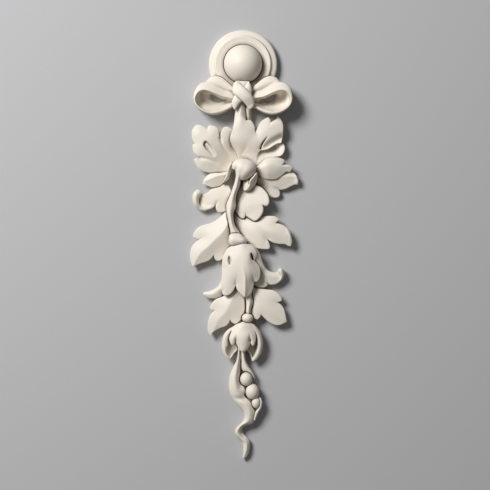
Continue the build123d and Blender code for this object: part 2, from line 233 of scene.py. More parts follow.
def relief(
    lobes, crest, edge, swell=(2.0,), folds=(), sunk=(), lip=0.8, undercut=1.4, softness=0.45, flow=3.0,
    corner=CORNER, groove=GROOVE, reach=None, melts=(),
):
    """Adds a carved form, such as a leaf, petal or ribbon. Its top falls from its crest to its margin.

    The fall from the crest's height to the edge's grows with the share of the way to the margin, raised
    to the swell: 1 makes a ridge, 2 a rounded crown. Edge and swell are spread evenly along the crest. The
    distance to the margin is averaged over the flow first, so that a notch does not pull the top down with
    it. With a reach, the share is the distance from the crest over the reach instead. Then the folds are
    added, and the top is softened. Each sunk place is an outline and a line of points, each with the depth
    of the floor below the top there.
    """
    outline = margin(lobes)
    area, x, y = plan_window(outline)
    inset = inset_from(outline, x, y)
    away, along, crest_height = nearest(smooth_line(crest), x, y)
    share = away / (away + soften(np.maximum(inset, 0), flow) + 1e-6)
    if reach:
        share = np.minimum(away / reach, 1.0)
    edge_height = np.interp(along, np.linspace(0, 1, len(edge)), edge)
    swell_there = np.interp(along, np.linspace(0, 1, len(swell)), swell)
    top = crest_height[..., 0] + (edge_height - crest_height[..., 0]) * share**swell_there
    top = soften(folded(top, folds, x, y), softness)
    for sunk_lobes, floor_line in sunk:
        depth = nearest(smooth_line(floor_line), x, y)[2][..., 0]
        sunk_share = np.clip(inset_from(margin(sunk_lobes), x, y) / SUNK_SLOPE, 0.0, 1.0)
        top = soften(top - depth * sunk_share, SUNK_SOFTNESS)
    corner, groove = melted(corner, groove, melts, x, y)
    fill_under(area, inset, top, lip, undercut, corner, groove)


def mirrored(rows):
    """The same points on the other side of the drop's middle line."""
    return [(-x, *others) for x, *others in rows]


rear_ribbon = [
    [(-37, -18.6), (-35, -15.6), (-33, -13.6), (-29, -12.2), (-25.5, -12.2), (-21, -13.8), (-16, -17.5),
     (-10, -23)],
    [(-6, -28), (-14, -27), (-24, -24), (-32, -21)],
]
rear_crest = [(-34, -18, 16.5), (-25, -19, 16.8), (-15, -23.5, 16.5), (-8, -27, 16)]
rear_edge = (13.5, 14.5, 14.5, 14.5)
relief(rear_ribbon, rear_crest, rear_edge, undercut=0.5, flow=0.8)
relief(
    [mirrored(lobe) for lobe in rear_ribbon],
    mirrored(rear_crest),
    rear_edge,
    undercut=0.5, flow=0.8,
)

loop_outline = smooth_line(
    [(-4, -30), (-10, -27.2), (-17, -24.6), (-24, -22.3), (-30, -20.1), (-36, -18.3), (-41, -19.2),
     (-45.3, -23), (-48, -28.5), (-49, -34), (-48, -39.5), (-44, -44.7), (-39, -48), (-33, -50),
     (-28, -50.3), (-21, -48.8), (-14, -45.2), (-7, -41), (-3, -37), (-4, -30)],
)
loop_mouth = smooth_line(
    [(-8, -36), (-15, -34.6), (-20, -34), (-25, -32.1), (-30, -30), (-34, -28.2), (-38, -27.3),
     (-42, -28), (-44.6, -30.2), (-46.2, -33.4), (-46.6, -36.5), (-45.4, -40), (-42.4, -43.3),
     (-38, -46), (-33, -47.7), (-28, -47.9), (-21, -46.3), (-14, -42.8), (-8, -39), (-8, -36)],
)
loop_hole = smooth_line(
    [(-18.5, -35.6), (-22, -34), (-28, -31), (-32.5, -29.8), (-33, -32), (-30.5, -35.6), (-25, -37.7),
     (-20.5, -36.9), (-18.5, -35.6)],
)
area, x, y = plan_window(np.vstack([loop_outline, loop_outline * [-1, 1]]))
x = -np.abs(x)
from_middle = -x
in_loop = inset_from(loop_outline, x, y)
in_mouth = inset_from(loop_mouth, x, y)
in_hole = inset_from(loop_hole, x, y)

# The rim rises from the knot outwards. Inside it the ribbon drops, most at the loop's outer end, and runs
# down to the hole at the back. Outside a flat rim the ribbon slopes back evenly.
RIM_AT_KNOT = 18.5
RIM_RISE = 4.0
RIM_WIDTH = 1.3
OUTSIDE_SLOPE = 0.75
SIDE_DROP = 3.5
END_DROP = 5.0
FUNNEL_CURVE = 1.1
MOUTH_MIDDLE_Y = -36
CORNER_AT_KNOT = 0.4
CORNER_GROWTH = 1.6


def outwards(start, run):
    """A share growing evenly from 0 at the start, so far from the middle line, to 1 a run farther out."""
    return np.clip((from_middle - start) / run, 0.0, 1.0)


rim_height = RIM_AT_KNOT + RIM_RISE * outwards(start=8, run=20)
from_hole = np.maximum(-in_hole, 0)
inside_share = from_hole / (from_hole + np.maximum(in_mouth, 0) + 1e-6)
side_drop = SIDE_DROP * outwards(start=np.where(y > MOUTH_MIDDLE_Y, 10, 25), run=9)
end_drop = END_DROP * outwards(start=34, run=8)
outside_fall = OUTSIDE_SLOPE * np.maximum(-in_mouth - RIM_WIDTH, 0)
inside_height = (rim_height - (side_drop + end_drop)) * inside_share**FUNNEL_CURVE
loop_top = soften(np.where(in_mouth > 0, inside_height, rim_height - outside_fall), 0.4)
loop_corner = CORNER_AT_KNOT + CORNER_GROWTH * outwards(start=23, run=8)[..., None]
in_ribbon = np.minimum(in_loop, -in_hole)
fill_under(area, in_ribbon, loop_top, lip=0.4, undercut=0.0, corner=loop_corner, groove=NO_GROOVE)

# The knot: the ribbon crosses over itself in front of the loops, one band from upper left to lower right.
# The other band shows as a lobe at lower left, a shoulder at upper right and a small web at the top.
# All are carved in the one casting, the band in front last and set off by a deeper groove.

# The lobe at lower left.
relief(
    [
        [(-8, -32), (-9.7, -34.5), (-11, -38), (-11, -41), (-10, -44)],
        [(-8, -46.3), (-6, -44), (-3, -40), (-1, -38)],
        [(2, -36), (-2, -30)],
    ],
    crest=[(-3, -33, 23.5), (-6.5, -38, 24), (-8, -44, 22.5)],
    edge=(22, 21), swell=(3.0,), flow=1.0, lip=0.6, softness=0.3,
)

# The shoulder at upper right.
relief(
    [
        [(7, -20), (8.6, -24), (8.6, -28), (8.3, -31.5)],
        [(4, -34), (-1, -28), (1, -23.5)],
        [(3, -20.5), (5.5, -17.5)],
    ],
    crest=[(1, -30, 24), (5, -25, 24), (6, -19, 22)],
    edge=(22.5, 20.5), swell=(3.0,), flow=1.0, lip=0.6, softness=0.3,
)

# The small web at the top.
relief(
    [[(0, -17), (6, -17.5)], [(3, -22), (1, -25)], [(-2, -21), (-6.5, -17)]],
    crest=[(0, -18, 20), (1, -23, 21)],
    edge=(19, 19), flow=1.0,
)

# The band in front.
relief(
    [
        [(-1, -22), (3.5, -26.3), (7.5, -30.5), (10, -34.5), (11.3, -38), (10.8, -42), (8.5, -45.2),
         (6, -46)],
        [(4.3, -43.5), (2, -40.5), (-1.5, -37), (-5, -34), (-8.5, -31.3)],
        [(-10.4, -28.5), (-10.6, -25.5), (-9.7, -22), (-8, -19), (-6.3, -17.6)],
    ],
    crest=[(-6, -21, 26), (-1, -29, 28.6), (4, -35, 28.2), (8, -42, 24.5)],
    edge=(24, 26.6, 26.2, 22.8), swell=(4.5,), flow=1.0, lip=0.6, softness=0.3, groove=(1.0, 2.5),
)

# The web: a low back that joins the stems, which are carved nearly in the round in front of it.
# It is part of the casting, and shows only as the floor of the dark gaps beside the stems.
relief(
    [
        [(-5, -36), (6, -36), (9, -60), (12, -100), (6, -130), (-2, -150), (0, -175), (6, -200),
         (8, -230), (7, -262), (3, -285), (-3, -285), (-8, -262), (-6, -230), (-12, -200), (-13, -160),
         (-12.5, -142), (-10.5, -132), (-7, -122), (-3, -112), (0, -100), (0, -90), (-1, -78),
         (-6, -62)],
    ],
    crest=[(0, -50, 3.8), (0, -120, 3.8), (-2, -200, 3.8), (0, -270, 3.8)],
    edge=(3.4, 3.4), undercut=0.0,
)

# The large flower's left and top leaves: broad lobed leaves that spread up and out behind the bud.
# They are carved with rounded lobes, a short furrow down from each notch, and a slot in the left one,
# and sink towards the bud.

# The upper left leaf.
relief(
    [
        [(-10, -66.5), (-11.5, -64.5), (-14, -62.8), (-17, -62.3), (-19.5, -63.5), (-21, -66),
         (-22.2, -69)],
        [(-22.7, -73.5)],
        [(-24, -69), (-24.5, -65), (-27, -62.3), (-30, -61.3), (-33.5, -61), (-35, -62.8)],
        [(-35.5, -65)],
        [(-37, -63.5), (-39.5, -61.8), (-43, -60.6), (-46, -60.5), (-48.5, -62.5), (-50.7, -66),
         (-51, -70), (-50.5, -74), (-49, -78)],
        [(-47.5, -79.6)],
        [(-49.8, -80), (-50, -84), (-48.5, -88.5), (-45.5, -91.5)],
        [(-42.7, -93.5)],
        [(-46, -93.5), (-49, -95)],
        [(-47.5, -99), (-45, -103), (-41, -106), (-35, -108), (-30, -108.3), (-23, -108), (-17, -108)],
        [(-4, -106), (2, -96), (-4, -80), (-8, -70)],
    ],
    crest=[(-8, -97, 3), (-13, -93, 5), (-19, -89, 8.5), (-26, -84, 12.5), (-35, -77, 15.4),
           (-43, -70, 15)],
    edge=(4, 6, 9, 11, 12, 12), swell=(2.0,),
    folds=[
        ([(-22.7, -73.5, -3), (-21, -79, -1.6), (-17, -86, -0.8), (-11, -93, 0)], 1.2),
        ([(-42.7, -93.5, -2.2), (-36, -94.5, -1.4), (-26, -98, -0.5)], 1.4),
        ([(-11.5, -69, -0.8), (-12, -79, -1.4), (-8, -87, -1.6), (-4.5, -92, -1.5)], 2.0),
        ([(-36.4, -79.6, 2.0), (-32, -84.8, 1.7), (-27, -91, 0.4)], 1.5),
    ],
    sunk=[
        (
            [
                [(-39.7, -80), (-38.7, -77.4), (-36.6, -76.5), (-34.6, -77.8), (-31, -82),
                 (-25, -91.5)],
                [(-29.5, -92.2), (-33, -89), (-37, -85), (-39.3, -81.8)],
            ],
            [(-38, -78, 4.2), (-33, -84.5, 3.0), (-29, -89.5, 1.4), (-26.5, -92, 0)],
        ),
    ],
)

# The top leaf.
relief(
    [
        [(-9, -59), (-10.5, -66), (-12.5, -72), (-12.5, -77), (-10.5, -82), (-7.5, -87), (-5.5, -91),
         (-4, -96)],
        [(6, -101), (14, -84), (14, -72), (12, -66.5)],
        [(11.5, -62), (9, -57.5), (6.5, -55.8), (3.5, -56.5)],
        [(0, -52), (-6, -53)],
    ],
    crest=[(-1, -52, 18), (-0.5, -66, 17.8), (-1, -78, 15.5), (-1.5, -88, 9), (-1, -95, 3)],
    edge=(15, 15.8, 13.5, 7, 3), swell=(2.4,), groove=(1.0, 2.2),
)

# The upper stem: two strands come down from the knot, and the left one runs into the top leaf.
# They are carved in the casting, the right one lower and half hidden.
STEM_REACH = 9.0
STEM_SOFTNESS = 0.4
FALL_END = 1.3


def stem(path, fall, peak=2.0, lip=0.8, undercut=0.6, corner=CORNER, groove=GROOVE, melts=()):
    """Adds a stem or strand along a path of X, Y, height and half width.

    Its top lies below the path's height by the fall times the share of the half width, raised to the peak.
    Past the side, the share grows no further than the fall's end.
    """
    line = smooth_line(path)
    area, x, y = plan_window(line, STEM_REACH)
    away, _, carried = nearest(line, x, y)
    height, half_width = carried[..., 0], carried[..., 1]
    top = soften(height - fall * np.minimum(away / half_width, FALL_END) ** peak, STEM_SOFTNESS)
    corner, groove = melted(corner, groove, melts, x, y)
    fill_under(area, half_width - away, top, lip, undercut, corner, groove)


# The right strand.
stem(
    [(4.4, -38, 14, 3.2), (4.6, -47, 13.5, 3.2), (4.8, -58, 10.5, 3.0)],
    fall=3, corner=1.0, groove=NO_GROOVE,
)

# The left strand.
stem(
    [(-1.5, -37, 19, 3.5), (-2.3, -45, 18.5, 4.7), (-2.8, -54, 18, 5.8), (-3, -61, 16.5, 6)],
    fall=4.0, peak=1.5, corner=1.0, groove=(0.7, 1.2), melts=[(-3, -61, 6)],
)

# The large flower's right leaf: a broad leaf that turns down along a ridge to a thin raised rim.
# A slit is sunk beside the ridge, and a hollow lower lobe shows under the rim. Carved in the casting.

# The lower lobe.
relief(
    [
        [(37.5, -79.3), (40, -79.2), (41.5, -81.5), (41.8, -84.5), (40.5, -88.5), (38, -91.2),
         (35, -92), (29, -93), (24, -95), (19, -98.5), (14, -101)],
        [(2, -103), (0, -97), (10, -86), (24, -78), (36, -74)],
    ],
    crest=[(4, -98, 4), (13, -92, 8), (23, -87.5, 7), (32, -84, 6), (38, -81.5, 7.5)],
    edge=(5, 9, 9.5, 9.5, 10), swell=(1.5,), corner=2.0, groove=NO_GROOVE,
)

# The leaf with its slit, ridge and rim.
relief(
    [
        [(13.5, -66), (15, -62), (17.5, -58), (21, -55), (25, -53.2), (27, -55)],
        [(27.8, -58.2)],
        [(30.5, -56.5), (33, -55), (34, -52.5), (34.5, -51)],
        [(37.5, -55), (39.8, -60), (40, -66.2), (39.6, -72), (38.2, -78.6)],
        [(34.5, -79.2), (30.5, -81.2), (26.3, -84), (21.7, -85.6), (17.2, -86.2), (14, -92), (12, -99)],
        [(2, -103), (-2, -98), (4, -84), (9, -72)],
    ],
    crest=[(4, -98, 4), (8, -91, 9), (12.5, -83, 13.5), (18, -73, 16), (28, -62, 15.5)],
    edge=(5, 9, 12.5, 13.5, 13), swell=(2.0,), softness=0.35,
    folds=[
        ([(27.8, -58.2, -1), (26.5, -62, -0.2)], 1.0),
        (
            [(20, -83.8, -1.2), (23.5, -82.2, -3.0), (28, -79.4, -4.0), (32.5, -76.6, -4.2),
             (38.5, -73.5, -4.2)],
            3.4,
        ),
        (
            [(17, -85.7, 0.2), (21.7, -85.1, 1.2), (26.3, -83.4, 2.2), (30.5, -80.6, 2.0),
             (34, -78.8, 0.6)],
            0.9,
        ),
    ],
    sunk=[
        (
            [
                [(16.8, -85.2), (16.9, -82), (18.8, -78.3), (21.8, -74.3), (26.8, -70.8)],
                [(23.4, -75), (20.6, -79), (18.9, -82.4), (18.6, -85)],
            ],
            [(17.6, -84.5, 7), (20.3, -78.5, 6), (26.3, -71.3, 1.5)],
        ),
    ],
    lip=0.6, melts=[(9, -77, 8), (9, -88, 9), (5, -97, 9)],
)

# The flower's petals: rounded tongues below the leaves, two on the right and one on the left, and a
# scrolled leaf at lower left. Each is carved to stand proud of the one below it, and the scrolled leaf's
# end is rolled over into a lip.

# The right petal.
relief(
    [
        [(13, -102), (16.5, -99.5), (20, -96), (24, -93.5), (28, -92.8), (33, -92.8), (38, -93.8),
         (41.3, -95.5), (41, -98)],
        [(39, -101)],
        [(42, -100), (46, -100.2), (49.5, -102.5)],
        [(48.5, -105), (47, -107.5)],
        [(43, -107.5), (39, -111), (34, -114.3), (29, -115), (24, -114.8), (19, -113.5),
         (15.5, -110.5)],
        [(8, -108), (8, -103)],
    ],
    crest=[(12, -106, 13), (22, -102.5, 18), (32, -101.5, 16.5), (44, -102.5, 13)],
    edge=(10, 11.5, 11.5, 10.5), swell=(2.4,),
)

# The lower right petal.
relief(
    [
        [(48, -107), (51, -108.5), (54, -112), (55.3, -116), (55, -120)],
        [(52, -119.8), (48, -121.5), (44, -123.5), (40, -124.8), (36, -125.2)],
        [(37, -128), (36.3, -131.5), (33, -133), (29, -132.5), (26.5, -131), (24, -127), (21, -124),
         (17, -122), (13, -120)],
        [(4, -116), (4, -106), (30, -104), (46, -106)],
    ],
    crest=[(8, -112, 10), (25, -114, 10.5), (40, -112, 10.5), (52, -112, 9)],
    edge=(6, 5.5, 6, 7.5), swell=(1.3,),
    folds=[([(36, -125.2, -1.5), (31, -123, -0.4)], 1.3), ([(53, -111.5, 1), (54.3, -117, 1.5)], 1.3)],
)

# The left petal.
relief(
    [
        [(-17, -107), (-23, -108), (-29, -107.8), (-33, -108.8), (-37, -112), (-39.5, -116),
         (-40.3, -119.5)],
        [(-36, -121), (-31, -122.6), (-27, -122.7), (-23, -121.3), (-19, -118)],
        [(-14, -114), (-13, -107)],
    ],
    crest=[(-16, -109.5, 10), (-26, -111.5, 10.5), (-37, -116, 9)],
    edge=(6, 5.5, 6.5), swell=(1.4,),
)

# The scrolled leaf.
relief(
    [
        [(-19, -119.5), (-23, -122), (-29, -123.5), (-32, -124.5), (-35, -127.5), (-39, -129.3),
         (-41.5, -130)],
        [(-47, -133), (-47, -140), (-43, -144.5), (-38, -145.2), (-34, -144.8), (-30, -143),
         (-27, -140)],
        [(-27.2, -143), (-26, -146), (-23, -147.5), (-19, -147), (-16.5, -146)],
        [(-10, -142), (-10, -130), (-14, -121)],
    ],
    crest=[(-13, -132, 7.5), (-26, -134, 8.5), (-38, -137, 6.5), (-44, -137, 5)],
    edge=(6, 6.5, 7, 7),
    folds=[
        ([(-27, -140, -1.5), (-25, -136, -0.4)], 1.0),
        ([(-42, -140, 0), (-36, -143.5, 1), (-30, -141.5, 0.5)], 1.5),
    ],
)

# The rolled lip of the scrolled leaf.
relief(
    [
        [(-42.5, -125.8), (-45, -124.8), (-48, -126.5), (-50, -130), (-50.3, -134), (-49.5, -138.5),
         (-47, -142), (-43, -144.7), (-38, -145.3)],
        [(-40.5, -143), (-42.5, -141), (-44, -137), (-43.5, -133), (-41.7, -130), (-41.4, -127.5)],
    ],
    crest=[(-43.5, -128, 11), (-46.5, -130, 12.5), (-47.2, -134.5, 12.5), (-45.8, -140, 11),
           (-42.5, -143, 8.5), (-39, -144.5, 7.5)],
    edge=(9, 9, 9, 7), swell=(2.0,), flow=0.8, melts=[(-39, -144.5, 5)],
)

# The bud: a round head in front of the leaves, with a small lobe hooked over the stem, between two sepals.
# The right sepal is a cup with a thin bright rim. All are carved in the casting, the head last.

# The left sepal.
relief(
    [
        [(-4, -94.5), (-10, -97), (-14, -100.8), (-16, -104.5), (-16.7, -109.5), (-18, -113.3),
         (-21.3, -118.7)],
        [(-19.6, -118.6), (-15.4, -114), (-12.9, -110.2), (-11.6, -105.7), (-10.8, -101.3), (-8, -98.5),
         (-3, -98)],
    ],
    crest=[(-4, -96.3, 24), (-11, -99, 24), (-14.2, -104.5, 22), (-15.3, -110.5, 19),
           (-20.4, -118, 13)],
    edge=(20, 20, 18, 15, 11), swell=(1.5,), flow=0.6,
)

# The inside of the right sepal.
relief(
    [
        [(0.6, -116.4), (-0.1, -120.7), (0.2, -124.3), (1.2, -126.7)],
        [(3.5, -126.6), (6.5, -124.5), (8, -120.7)],
        [(7, -115), (4, -112)],
    ],
    crest=[(1.6, -125.9, 19), (4, -124.9, 20.8), (5.6, -121.5, 22), (6.2, -117, 22.5)],
    edge=(15.5, 15.5), swell=(0.9,), flow=0.6, softness=0.3, lip=0.6,
)

# The outside of the right sepal, with its rim.
relief(
    [
        [(14.1, -108), (14.4, -112), (13.9, -116), (12, -120.3), (9, -123.5), (4.5, -126)],
        [(5.2, -123.8), (5.6, -121.3), (5.5, -118.3), (6.7, -114.6), (9.3, -111.6)],
        [(11, -106)],
    ],
    crest=[(13.1, -109.6, 25.5), (10.5, -112.8, 25.8), (7.8, -115.6, 25.6), (6.7, -118.2, 24.8),
           (6.5, -121.3, 23.4), (5.2, -125, 20.5)],
    edge=(19, 17.5, 16.5, 16), swell=(1.1,), flow=0.6, softness=0.45, lip=0.9, undercut=0.6,
    melts=[(5, -124.5, 3.5)],
)

# The head.
relief(
    [
        [(-9.1, -106), (-10.4, -104.5), (-10.8, -101.5), (-10.2, -98.7), (-7.5, -96.3), (-2.3, -94.7),
         (3, -94.9), (8, -96.7), (11.6, -100), (13, -104), (12.2, -107.6), (9.7, -110.9), (6.3, -113.5),
         (3.5, -115.1), (0.5, -115.9), (-2, -115.8), (-5, -113), (-6.5, -109), (-7.6, -105.2)],
    ],
    crest=[(-1, -103.5, 29.5), (3, -105.5, 30)],
    edge=(22.5, 22.5), swell=(2.2,), lip=1.0, undercut=0.5, flow=0.8, groove=(0.9, 4.5),
)

# The middle leaves: two lobed leaves hang from the stem's swelling, the left one folded along its midrib.
# They are carved in the casting, behind the stem.

# The middle left leaf.
relief(
    [
        [(-16, -146.5), (-19, -148.5), (-23, -152.5), (-27, -155.5), (-32, -158), (-38, -159.7),
         (-43, -161.5), (-47, -165), (-49.5, -169), (-50, -172.3)],
        [(-47, -173.8), (-44, -174.3), (-40.5, -173)],
        [(-44.5, -175), (-48.5, -178.5), (-51.5, -183), (-52.7, -189), (-52.3, -196), (-50, -202.3)],
        [(-46, -200), (-41, -198), (-36, -196.5), (-32, -194), (-29, -190)],
        [(-28, -194), (-25.5, -196), (-22, -195), (-19.5, -193), (-19, -189), (-16, -184), (-13, -181)],
        [(-9.5, -176), (-9.5, -164), (-12, -152)],
    ],
    crest=[(-14, -152, 16), (-16, -160, 16.5), (-19, -166, 16.5), (-27.5, -174.5, 15.8),
           (-34, -181, 14.5), (-43, -189, 12.5), (-49.5, -200.5, 9.5)],
    edge=(10, 10, 9.5, 8.5), swell=(1.25,), softness=0.35,
)

# The middle right leaf.
relief(
    [
        [(-9, -155), (-7, -161), (-3.5, -166.5), (0, -171), (4, -175.5), (8, -180), (11, -182.5),
         (15, -183.5), (21, -184.3), (26.5, -184)],
        [(27, -181), (26.3, -178.5), (25, -176), (24.3, -174)],
        [(27, -176.2), (31, -178), (36, -179), (42, -179.3), (45, -181), (47.5, -181.5)],
        [(49, -177), (48.3, -172), (46, -166), (42, -161.5), (37, -159), (32.5, -158.3)],
        [(35, -156), (36.3, -154.8)],
        [(33, -152), (28, -151), (22, -151.2), (19, -152)],
        [(6, -148), (-6, -147)],
    ],
    crest=[(-2, -160, 8.5), (12, -164, 12), (28, -166, 14), (42, -171, 12.8)],
    edge=(7, 8.5, 10, 10.5), swell=(2.0,),
    folds=[
        ([(24.3, -174, -1.2), (21, -169, -1), (16, -164, -0.4)], 2.5),
        ([(44, -165, 0.6), (46.4, -170, 0.8), (46.8, -177, 0.5)], 1.2),
    ],
)

# The heart petal: a broad petal below the bud, dished from the stem out to its lobed right edge.
# It is carved in the casting, in front of the middle right leaf, with a thick rounded lip.
relief(
    [
        [(13, -120.5), (17, -122), (21, -125), (24.5, -129.5), (26, -134), (26.2, -138), (24.5, -141),
         (21.5, -141.3), (19.7, -140.5)],
        [(20.5, -144), (19.8, -148), (17.5, -152), (14, -155.5), (11, -156.2), (8, -154.5), (5, -152.5),
         (3, -151)],
        [(2.7, -149)],
        [(2.3, -152), (0.5, -153.8), (-2.2, -153), (-5.2, -149.5), (-8, -145), (-8.6, -139),
         (-7.4, -132), (-5, -126), (-2, -122)],
        [(4, -117)],
    ],
    crest=[(1, -118, 10.5), (-3.5, -126, 10.5), (-6.2, -134, 10.5), (-7, -142, 10.5),
           (-5.5, -148.5, 10.5), (-2, -152.6, 10.5)],
    edge=(17.5, 17.5), swell=(0.8,), lip=1.5, undercut=0.0, reach=31.0, softness=1.2,
)

# The stem: a twisted stalk that drops out of the bud, bends, and swells where the leaves leave it.
# It is carved nearly in the round, and runs into the bud without a groove.
stem(
    [(-3.5, -103, 28, 3), (-4.2, -109, 27, 2.6), (-4.9, -115, 25.5, 2.7), (-6.6, -122, 23.5, 2.9),
     (-9.1, -129, 22, 2.9), (-10.7, -135, 21, 3.6), (-11.8, -141, 20.5, 4.8), (-12.8, -147, 20.5, 3.6),
     (-12.2, -154, 20.5, 2.8), (-10.7, -161, 20.5, 2.9), (-7.5, -169, 20, 4.6)],
    fall=3.5, peak=1.3, groove=(1.2, 2.2), melts=[(-2.5, -108, 6)],
)

# The bell flower: a hanging trumpet with a ridge down its front petal, a flared tip to the left and a
# curled wing behind it to the right. Two drop-shaped eyes are sunk between the petals at its shoulder,
# and a round collar caps it. All are carved in the casting.

left_eye = [
    [(-14.3, -191), (-15.2, -195), (-14.2, -199), (-12.9, -200.8)],
    [(-11.7, -198), (-11.6, -194), (-13.3, -190.5)],
]
right_eye = [
    [(7.2, -187.5), (7.2, -191), (8.5, -194.5), (11, -196)],
    [(11.3, -193), (10, -189), (8.2, -186.5)],
]
eye_floor_left = [(-13.4, -191.5, 3.4), (-13.2, -200, 3.4)]
eye_floor_right = [(8, -188, 6), (10.4, -195, 6)]

# The wing.
relief(
    [
        [(4, -179), (9, -180), (13, -183), (16, -187), (18, -192), (19.5, -197), (22, -202),
         (25.5, -205.5), (29, -207), (34, -207.3)],
        [(35, -205.5), (36, -203.7), (38, -203), (40, -204), (41, -207), (40.8, -211), (38.5, -215),
         (34, -218.5), (29, -219.7), (26, -219.2), (23.8, -216.8)],
        [(24.6, -220), (22, -222), (17, -222.3), (13.5, -221.5), (12, -220)],
        [(6, -216), (2, -190)],
    ],
    crest=[(4, -182, 20.3), (10, -190, 19.6), (15, -198, 16), (20, -208, 12), (34, -212.5, 10)],
    edge=(17, 15, 10, 8.5), swell=(1.6,), sunk=[(right_eye, eye_floor_right)],
)

# The curl at the wing's tip.
stem(
    [(37.6, -205.8, 13, 2.7), (38.7, -208.5, 12.4, 2.3), (38, -213.3, 10.5, 1.7), (34, -217, 8.6, 1.3)],
    fall=2.4, lip=1.2, corner=1.2, groove=NO_GROOVE,
)

# The flared tip.
relief(
    [
        [(-21.5, -215), (-24, -220), (-29, -224), (-35, -226.3), (-39, -227), (-40, -229)],
        [(-38.5, -231), (-34, -233), (-29, -233.3), (-24, -232.3), (-21, -230.5), (-20.5, -227.5)],
        [(-13, -226), (-12, -214), (-19, -213)],
    ],
    crest=[(-15, -214, 8), (-18.5, -218.5, 13), (-23, -223.5, 14), (-30, -228.5, 11),
           (-39.3, -229, 8.5)],
    edge=(6, 10, 10, 8, 7), swell=(1.8,), flow=1.5,
)

# The trumpet.
relief(
    [
        [(-16, -184), (-18.5, -188), (-20.2, -193), (-21, -200), (-21, -208), (-21.3, -214),
         (-21.8, -220), (-20.5, -227.5)],
        [(-19.5, -229.5), (-17, -230.2), (-13, -229), (-10, -226), (-8, -222), (-7.5, -219.3)],
        [(-6, -224), (-3, -228), (1.5, -232)],
        [(5, -231), (8, -228), (10, -223.5), (10.8, -219), (11, -216)],
        [(13, -216.7), (15.5, -215), (17, -211), (17.3, -206), (16.5, -201.5), (14.5, -198.5),
         (11, -195)],
        [(13.6, -191.5), (13.4, -187), (10.5, -182), (4, -179), (-4, -178), (-12.5, -181.5)],
    ],
    crest=[(-0.5, -181, 23.5), (0.2, -190, 25.3), (0.9, -198, 26), (1.5, -206, 26), (2, -214, 25.3),
           (2.2, -222, 24), (2, -231, 21.5)],
    edge=(20, 18.5, 17, 17.5, 18, 18.5), swell=(2.8, 2.8, 2.0, 1.5, 1.4),
    folds=[
        ([(-20.5, -227.5, -1), (-19, -223, -0.3)], 1.0),
        ([(-7.5, -219.3, -1.5), (-6.5, -214, -0.6), (-5.5, -208, -0.1)], 1.2),
        ([(11, -216, -1.5), (10, -211, -0.6), (8.5, -205, -0.1)], 1.2),
        ([(-1.5, -197, 0), (0.3, -204, 0.5), (2, -211, 0.9), (2.2, -220, 0.9), (1.6, -231, 0.5)], 0.9),
    ],
    sunk=[(left_eye, eye_floor_left), (right_eye, eye_floor_right)],
    melts=[(-25, -222, 9), (12, -184, 9)],
)

# The collar.
relief(
    [
        [(-12, -169), (-7, -168.3), (-3, -168.8), (0.5, -171.5), (4.5, -176), (3, -178.5), (-5, -180.5),
         (-11, -181), (-13.7, -178.5), (-14.2, -174.5), (-13.7, -171)],
    ],
    crest=[(-10, -175, 24), (-1, -175.5, 24)],
    edge=(20, 20), lip=1.6, flow=1.0,
)

# The lower leaves: two lobed leaves hang behind the bell, with a short stem between them.
# They are carved in the casting, each with a soft ridge down the middle.

# The lower left leaf.
relief(
    [
        [(-14, -228), (-21, -231.5), (-27, -234), (-31, -238), (-33.5, -243)],
        [(-31, -244.8), (-28, -245.2)],
        [(-32, -249), (-34.3, -254), (-35.2, -261), (-34.5, -267), (-31.5, -271.2)],
        [(-30.5, -268), (-27, -265), (-22, -262.5), (-17, -260.5), (-14, -257.5), (-12.7, -254)],
        [(-11.5, -256.5), (-8, -258.5), (-4.5, -257), (-1.5, -253.5), (1, -248), (1.8, -241),
         (1.5, -233)],
        [(2, -222), (-9, -222)],
    ],
    crest=[(-6, -228, 13.5), (-10, -232, 14), (-12.5, -238, 14.3), (-17, -246, 13.8), (-24, -254, 12.5),
           (-31, -268.5, 9.5)],
    edge=(10.5, 10.5, 10.5, 9), swell=(1.35,), softness=0.4,
)

# The lower right leaf.
relief(
    [
        [(12, -223), (17, -223.5), (24, -224.3), (30, -225), (35, -228), (38, -232), (39, -235)],
        [(37, -236.5), (34, -237)],
        [(38, -239.5), (41, -244), (42.5, -250), (43.3, -254), (44, -256.3)],
        [(40, -258.5), (35, -260), (30, -259), (25, -256), (21, -252.5), (18, -249.3)],
        [(17, -252), (14, -254.3), (11.5, -253), (9, -249.5), (8.5, -246), (10, -240), (10.8, -235),
         (9.5, -232), (8, -229)],
        [(6, -220)],
    ],
    crest=[(10, -227, 12.5), (17, -235, 13.8), (26, -244, 13.5), (40, -254.5, 11)],
    edge=(10.5, 10.5, 10, 9.5), swell=(1.4,), softness=0.4,
)

# The short stem.
stem(
    [(5.5, -226, 17, 3.2), (5.8, -232, 17, 3.2), (6.5, -237, 16.5, 3.3), (5.6, -243, 16.5, 2.5),
     (5, -252, 16.5, 2.3)],
    fall=3.5, peak=1.4,
)

# The calyx: a bulb with three short lobes, clasped by two hollow sepals with raised rims.
# It is carved in the casting below a small round collar.

